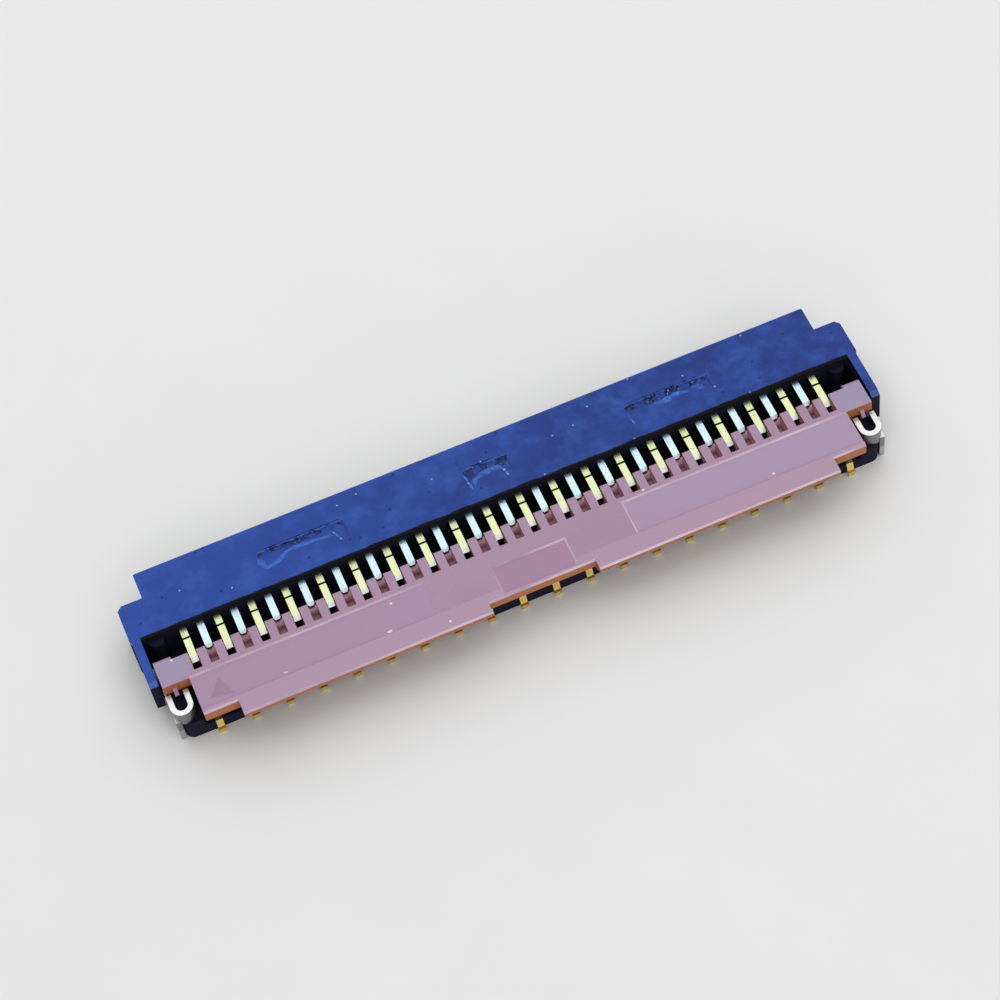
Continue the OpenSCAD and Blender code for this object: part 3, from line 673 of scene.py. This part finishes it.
def surface_piece(name, grids, body, material, numbers=None):
    """One mesh from several (rows, columns, 3) grids in metres; numbers are stored at its points by name."""
    starts = np.cumsum([0] + [g.shape[0] * g.shape[1] for g in grids])
    points = np.concatenate([g.reshape(-1, 3) for g in grids])
    quads = np.concatenate([grid_quads(g.shape[0], g.shape[1], s) for g, s in zip(grids, starts)])
    mesh = bpy.data.meshes.new(name)
    mesh.from_pydata(points.tolist(), [], quads.tolist())
    mesh.polygons.foreach_set("use_smooth", np.ones(len(quads), bool))
    for attribute, values in (numbers or {}).items():
        layer = mesh.attributes.new(attribute, "FLOAT", "POINT")
        layer.data.foreach_set("value", np.concatenate([v.ravel() for v in values]).astype(np.float32))
    welded = bmesh.new()
    welded.from_mesh(mesh)
    bmesh.ops.remove_doubles(welded, verts=welded.verts, dist=WELD)
    welded.to_mesh(mesh)
    welded.free()
    mesh.materials.append(material)
    piece = bpy.data.objects.new(name, mesh)
    bpy.context.scene.collection.objects.link(piece)
    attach(piece, body)
    print("made", name, len(mesh.polygons), "faces")


print("faces on a grid of 3 by 4 points", len(grid_quads(3, 4, 0)))

# %% [markdown]
# Torn plastic needs unevenness that is the same on every run, so a seeded lattice of random values is
# blended smoothly between its points.

# %% Seeded noise
def s_curve(value, low, high):
    """Nought up to low, one from high on, and a smooth S between them."""
    t = np.clip((value - low) / (high - low), 0, 1)
    return t * t * (3 - 2 * t)


def lattice_noise(u, v, cells_u, cells_v, seed):
    """Random values on a lattice, blended between the four nearest by an S-curve in each direction."""
    lattice = np.random.default_rng(seed).random((cells_u + 2, cells_v + 2))
    x, y = u * cells_u, v * cells_v
    i, j = x.astype(int), y.astype(int)
    s, t = s_curve(x - i, 0, 1), s_curve(y - j, 0, 1)
    near = lattice[i, j] * (1 - s) + lattice[i + 1, j] * s
    far = lattice[i, j + 1] * (1 - s) + lattice[i + 1, j + 1] * s
    return near * (1 - t) + far * t


print("S-curve a quarter of the way", s_curve(0.25, 0, 1))

# %% [markdown]
# The melt enters the mould through gates in the three hollows. When the runner is snapped off, the
# deep end of each hollow keeps a torn band of dark pits and pale fibre ends. It is a height field: the
# hollow's own floor plus a lift from coarse and fine noise, pinned to the floor along its rim. Along the
# band lie dark dashes, torn pits that are also painted shade, whose places are listed one by one. Numbers
# stored at every point tell the finish where a pit and its painted shade are dark and where a fibre is pale,
# so the band fades into the skin around it.

# %% Torn gate bands
RAMP_LENGTH = 0.44 * MM
FLOAT_GAP = 0.0015 * MM                             # keeps the band just clear of the floor
TEAR = 0.10 * MM                                    # length of one tear along the hollow
LEAST_TEARS = 6
SCAR_REACH = np.array([0.09, 0.17, 0.12]) * MM      # width of each torn band up the ramp
SCAR_STEPS = (220, 30)                              # points along and across a band
RIM_FADE = 8                                        # one eighth of the way in, the rim's fade is over
EDGE_WAVES = 6                                      # swings of a band's wandering edge
LONG_ROWS, SHORT_ROWS = 3, 6                        # rows of long and of short fibres across a band
SHORTER = 3                                         # a long fibre is this many short ones long
WALL_FADE = 3                                       # against the wall the fade is this much quicker
SCAR_SEED, SEED_STEP = 40, 10
# Middle and half length of each dark dash in mm along its hollow, from the hollow's left end.
DASHES = (
    ((0.03, 0.05), (0.28, 0.05), (0.66, 0.28), (1.08, 0.07), (1.48, 0.05)),
    ((0.02, 0.04), (0.12, 0.06), (0.37, 0.08), (0.63, 0.11), (0.74, 0.06)),
    ((0.10, 0.10), (0.50, 0.15), (0.85, 0.18), (1.28, 0.09), (1.45, 0.06)),
)


def hollow_height(y):
    """Roof height across a hollow: level, a ramp down to the deepest line, then a wall of one in one."""
    ramp = -HOLLOW_DEPTH * np.clip(1 - (HOLLOW_Y - y) / RAMP_LENGTH, 0, 1)
    wall = np.minimum(0, y - HOLLOW_Y - HOLLOW_DEPTH)
    return ROOF_TOP + np.where(y > HOLLOW_Y, wall, ramp)


def scar_grid(x_left, x_right, reach, dashes, seed):
    """x runs along the hollow, y from its far wall to a wandering edge, z is floor plus faded noise.

    A spot is as dark as the nearest dash makes it, which falls from one at its middle to nought at its end.
    """
    u, v = np.meshgrid(*[np.linspace(0, 1, steps) for steps in SCAR_STEPS], indexing="ij")
    x = x_left + (x_right - x_left) * u
    y_far = HOLLOW_Y + HOLLOW_DEPTH
    y_near = HOLLOW_Y - reach * (0.6 + 0.4 * lattice_noise(u, 0 * u, EDGE_WAVES, 1, seed))
    y = y_far + v * (y_near - y_far)
    tears = max(LEAST_TEARS, int((x_right - x_left) / TEAR))
    long_fibres = lattice_noise(u, v, tears, LONG_ROWS, seed + 1)
    short_fibres = lattice_noise(u, v, SHORTER * tears, SHORT_ROWS, seed + 2)
    across = np.clip(RIM_FADE * np.minimum(WALL_FADE * v, 1 - v), 0, 1)
    fade = across * np.clip(RIM_FADE * np.minimum(u, 1 - u), 0, 1)
    lift = 0.5 * long_fibres + 0.5 * short_fibres
    z = np.minimum(hollow_height(y) + FLOAT_GAP + 0.8 * HOLLOW_DEPTH * fade * lift ** 2, ROOF_TOP)
    middle, half = (np.array(dashes) * MM).T[:, :, None, None]
    dash = (1 - np.abs(x - x_left - middle) / half).max(axis=0)
    broken = s_curve(1 - short_fibres, -0.3, 0.4)
    # dark pits, which are also painted shade in the deep band
    pit_and_shade = across * s_curve(dash + 0.9 * (long_fibres - 0.5), 0.0, 0.3) * broken
    fibre = 0.9 * fade * s_curve(short_fibres, 0.80, 0.95)
    return np.stack([x, y, z], axis=-1), pit_and_shade, fibre


torn_and_painted_light_finish = housing_polymer("torn_liquid_crystal_polymer_and_painted_light", torn=True)
for n, (x_left, x_right) in enumerate(HOLLOWS):
    grid, pit_and_shade, fibre = scar_grid(x_left, x_right, SCAR_REACH[n], DASHES[n], SCAR_SEED + SEED_STEP * n)
    surface_piece("gate_scar_%d" % (n + 1), [grid], "base", torn_and_painted_light_finish,
                  {"pit_and_shade": [pit_and_shade], "fibre": [fibre]})

# %% [markdown]
# Around each torn band the plastic was pulled up into soft streaks, and along the hollow's sides into
# thin burrs; both are drawn pale, a painted highlight brightest along their crests. A low half-oval is
# carried along a few smooth lines that are listed one by one. Its size follows seeded noise and shrinks to
# nothing at both ends, so no open end shows.

# %% Burr lines with a painted highlight
BURR_HEIGHT = 0.010 * MM
BURR_SEED = 70
BURR_STEPS, BURR_SIDES = 90, 13     # points along a line and round its half-oval
BURR_WAVES = 9                      # swellings along a line
TAPER = 5                           # one fifth of the way in, a line has its full size
# For each hollow: paleness of the painted highlight, half width, and points (along the hollow, towards the
# lever) in mm from the left end of its deepest line.
BURRS = (
    ((0.60, 0.085, ((0.00, 0.08), (0.02, 0.22), (0.09, 0.32), (0.30, 0.28), (0.52, 0.15), (0.90, 0.16),
                    (1.28, 0.19))),
     (0.80, 0.034, ((1.30, 0.12), (1.35, 0.23), (1.40, 0.37)))),
    ((0.88, 0.034, ((0.00, 0.05), (0.02, 0.28), (0.05, 0.43))),
     (0.55, 0.085, ((0.10, 0.36), (0.15, 0.24), (0.32, 0.18), (0.54, 0.15), (0.65, 0.22))),
     (0.85, 0.034, ((0.60, 0.17), (0.67, 0.28), (0.69, 0.43)))),
    ((0.75, 0.024, ((0.00, 0.14), (0.02, 0.28), (0.05, 0.43))),
     (0.60, 0.080, ((0.48, 0.14), (0.67, 0.18), (0.92, 0.12), (1.14, 0.18))),
     (0.50, 0.065, ((1.20, 0.12), (1.30, 0.15), (1.40, 0.23)))),
)


def smooth_path(points, count):
    """A cubic through each pair of points that leaves and arrives along the chord of their neighbours."""
    p = np.vstack([2 * points[0] - points[1], points, 2 * points[-1] - points[-2]])
    t = np.linspace(0, len(points) - 1 - 1e-6, count)
    i = t.astype(int)
    s = (t - i)[:, None]
    a, b, c, d = p[i], p[i + 1], p[i + 2], p[i + 3]
    return b + 0.5 * s * (c - a + s * (2 * a - 5 * b + 4 * c - d + s * (3 * b - a - 3 * c + d)))


def burr_grid(x_left, x_right, highlight_paleness, half_width, points, seed):
    """Place = line + width cos(a) sideways, height = the hollow's own + rise sin(a), a over half a turn."""
    line = np.array([x_left, HOLLOW_Y]) + smooth_path(np.array(points) * [MM, -MM], BURR_STEPS)
    along = np.linspace(0, 1, BURR_STEPS)
    tangent = np.gradient(line, axis=0)
    tangent /= np.linalg.norm(tangent, axis=1, keepdims=True)
    side = np.stack([-tangent[:, 1], tangent[:, 0]], axis=-1)
    taper = np.sqrt(np.clip(TAPER * np.minimum(along, 1 - along), 0, 1))
    size = (taper * (0.4 + 0.8 * lattice_noise(along, 0 * along, BURR_WAVES, 1, seed)))[:, None]
    angle = np.linspace(0, np.pi, BURR_SIDES)[None, :]
    place = line[:, None, :] + (half_width * MM * size * np.cos(angle))[..., None] * side[:, None, :]
    x, y = place[..., 0], place[..., 1]
    floor = np.where((x > x_left) & (x < x_right), hollow_height(y), ROOF_TOP)
    z = np.minimum(floor + BURR_HEIGHT * size * np.sin(angle), ROOF_TOP + BURR_HEIGHT / 2)
    # the pale number is a painted highlight, brightest on the crest
    return np.stack([x, y, z], axis=-1), np.clip(highlight_paleness * np.sqrt(size) * np.sin(angle) ** 2, 0, 1)


for n, (x_left, x_right) in enumerate(HOLLOWS):
    first_seed = BURR_SEED + SEED_STEP * n
    burrs = [burr_grid(x_left, x_right, *burr, first_seed + k) for k, burr in enumerate(BURRS[n])]
    grids, crest_highlights = zip(*burrs)
    # the burrs' painted crest highlights are stored as the fibre number
    surface_piece("gate_burr_%d" % (n + 1), grids, "base", torn_and_painted_light_finish, {"fibre": crest_highlights})

# %% [markdown]
# A small triangle on the lever's left panel tells the assembler where the first contact is. It is part
# of the mould, so it is the same plastic, with a smoother skin that looks a little darker. A square of
# parameters is squeezed to a triangle: one runs along the base, the other shortens that line towards
# the blunt tip.

# %% First-contact mark
MARK_BASE_LEFT = np.array([-5.71 * MM, RIDGE_Y - 0.52 * MM])
MARK_BASE_RIGHT = np.array([-5.30 * MM, RIDGE_Y - 0.60 * MM])
MARK_TIP = np.array([-5.45 * MM, RIDGE_Y - 0.19 * MM])
MARK_HEIGHT = 0.006 * MM
MARK_BLUNT = 0.95       # the tip stops at this share of the height
MARK_STEPS = 24
MARK_TINTS = ("#a4879f", "#a4859c", "#a3839d", "#a3839d")


def mark_grid():
    """Base line u from left to right, drawn in towards the tip by v; the height rises over the rim."""
    v, u = np.meshgrid(np.linspace(0, MARK_BLUNT, MARK_STEPS), np.linspace(0, 1, MARK_STEPS), indexing="ij")
    base = MARK_BASE_LEFT + u[..., None] * (MARK_BASE_RIGHT - MARK_BASE_LEFT)
    flat = base + v[..., None] * (MARK_TIP - base)
    inset = np.minimum(np.minimum(u, 1 - u), np.minimum(v, MARK_BLUNT - v))
    z = PANEL_Z + MARK_HEIGHT * np.clip(RIM_FADE * inset, 0, 1)
    return np.concatenate([flat, z[..., None]], axis=-1)


mark_finish = lever_polymer("liquid_crystal_polymer_brown_smooth", MARK_TINTS)
surface_piece("first_contact_mark", [mark_grid()], "lever", mark_finish)

# %% [markdown]
# Handling leaves a couple of pale scuffs near the lever's edge, where plastic is raised into a flake.
# Each is a low oval dome: polar parameters run from its middle to its rim, and the rim wanders. Raised
# plastic scatters light, so a scuff is nearly white and quite dull.

# %% Scuffs
SCUFFS = ((-2.62, -0.64, 0.075, 1), (-4.42, -0.60, 0.05, 2))    # x, y from the ridge, length in mm, seed
SCUFF_RISE = 0.008 * MM
SCUFF_RINGS, SCUFF_SPOKES, SCUFF_WAVES = 8, 33, 6
SCUFF_ROUGHNESS = 0.6


def scuff_grid(x_mm, back_mm, length_mm, seed):
    """Polar dome: the rim's radius follows noise round the turn, the height falls as one less r squared."""
    r, turn = np.meshgrid(np.linspace(0, 1, SCUFF_RINGS), np.linspace(0, 1, SCUFF_SPOKES), indexing="ij")
    rim = length_mm * MM * (0.35 + 0.65 * lattice_noise(turn % 1.0, 0 * turn, SCUFF_WAVES, 1, seed))
    a = 2 * np.pi * turn
    x = x_mm * MM + r * rim * np.cos(a)
    y = RIDGE_Y + back_mm * MM + 0.5 * r * rim * np.sin(a)
    return np.stack([x, y, PANEL_Z + SCUFF_RISE * (1 - r ** 2)], axis=-1)[::-1]


def scuffed_polymer():
    material, tree, shader, coords = new_finish("scuffed_liquid_crystal_polymer")
    fray = add_node(tree, "ShaderNodeTexNoise", None,
                    {"Vector": (coords, "Object"), "Scale": pattern_scale(GRAIN_MM), "Detail": 2.0})
    colour = add_node(tree, "ShaderNodeMix", RGBA,
                      {FACTOR: (fray, 0), FIRST: linear("#cbbbd0"), SECOND: linear("#f4eef6")})
    tree.links.new(colour.outputs[MIXED], shader.inputs["Base Color"])
    shader.inputs["Roughness"].default_value = SCUFF_ROUGHNESS
    return material


scuffs = [scuff_grid(*scuff) for scuff in SCUFFS]
surface_piece("lever_scuffs", scuffs, "lever", scuffed_polymer())

# %% [markdown]
# The part lies on plain pale paper, which is matt and gives the eye nothing but the part's soft shadow.

# %% Floor
FLOOR_HALF = 400 * MM
PAPER_FIBRE_MM = 2.0        # far coarser than real, and very faint
PAPER_ROUGHNESS, PAPER_SPECULAR = 0.9, 0.1


def floor_paper():
    material, tree, shader, coords = new_finish("pale_paper")
    fibre = add_node(tree, "ShaderNodeTexNoise", None,
                     {"Vector": (coords, "Object"), "Scale": pattern_scale(PAPER_FIBRE_MM), "Detail": 2.0})
    colour = add_node(tree, "ShaderNodeMix", RGBA,
                      {FACTOR: (fibre, 0), FIRST: linear("#efefef"), SECOND: linear("#f2f2f2")})
    tree.links.new(colour.outputs[MIXED], shader.inputs["Base Color"])
    shader.inputs["Roughness"].default_value = PAPER_ROUGHNESS
    shader.inputs["Specular IOR Level"].default_value = PAPER_SPECULAR
    return material


def make_floor():
    h = FLOOR_HALF
    mesh = bpy.data.meshes.new("floor")
    mesh.from_pydata([(-h, -h, 0), (h, -h, 0), (h, h, 0), (-h, h, 0)], [], [(0, 1, 2, 3)])
    floor = bpy.data.objects.new("floor", mesh)
    floor.location.z = -HAIR
    bpy.context.scene.collection.objects.link(floor)
    mesh.materials.append(floor_paper())
    print("floor", 2 * h / MM, "mm wide")


make_floor()

# %% [markdown]
# One very large soft light stands behind the part, so that the level faces mirror an even glow. A
# smaller light card in front lights the slopes and the near edges, and a little light comes from all
# round. At this level a colour comes out about as it is written in its finish.

# %% Light
# Name, place and width in mm, watts, colour.
LAMPS = (("sky", (16, 69, 109), 260, 0.235, (1.0, 1.0, 1.0)),
         ("card", (0, -123, 86), 230, 0.15, (1.0, 0.97, 0.93)))
ROOM_COLOUR, ROOM_STRENGTH = (0.92, 0.95, 1.0, 1.0), 0.2


def soft_light(name, place_mm, size_mm, watts, colour):
    """A square lamp that faces the middle of the part; its glow is watts / (pi x area)."""
    data = bpy.data.lights.new(name, "AREA")
    data.shape = "SQUARE"
    data.size = size_mm * MM
    data.energy = watts
    data.color = colour
    lamp = bpy.data.objects.new(name, data)
    lamp.location = Vector(place_mm) * MM
    lamp.rotation_euler = (-lamp.location).to_track_quat("-Z", "Y").to_euler()
    bpy.context.scene.collection.objects.link(lamp)


for lamp in LAMPS:
    soft_light(*lamp)
world = bpy.data.worlds.new("studio")
bpy.context.scene.world = world
world.use_nodes = True
room = world.node_tree.nodes["Background"]
room.inputs["Color"].default_value = ROOM_COLOUR
room.inputs["Strength"].default_value = ROOM_STRENGTH
bpy.context.scene.view_settings.view_transform = "Standard"
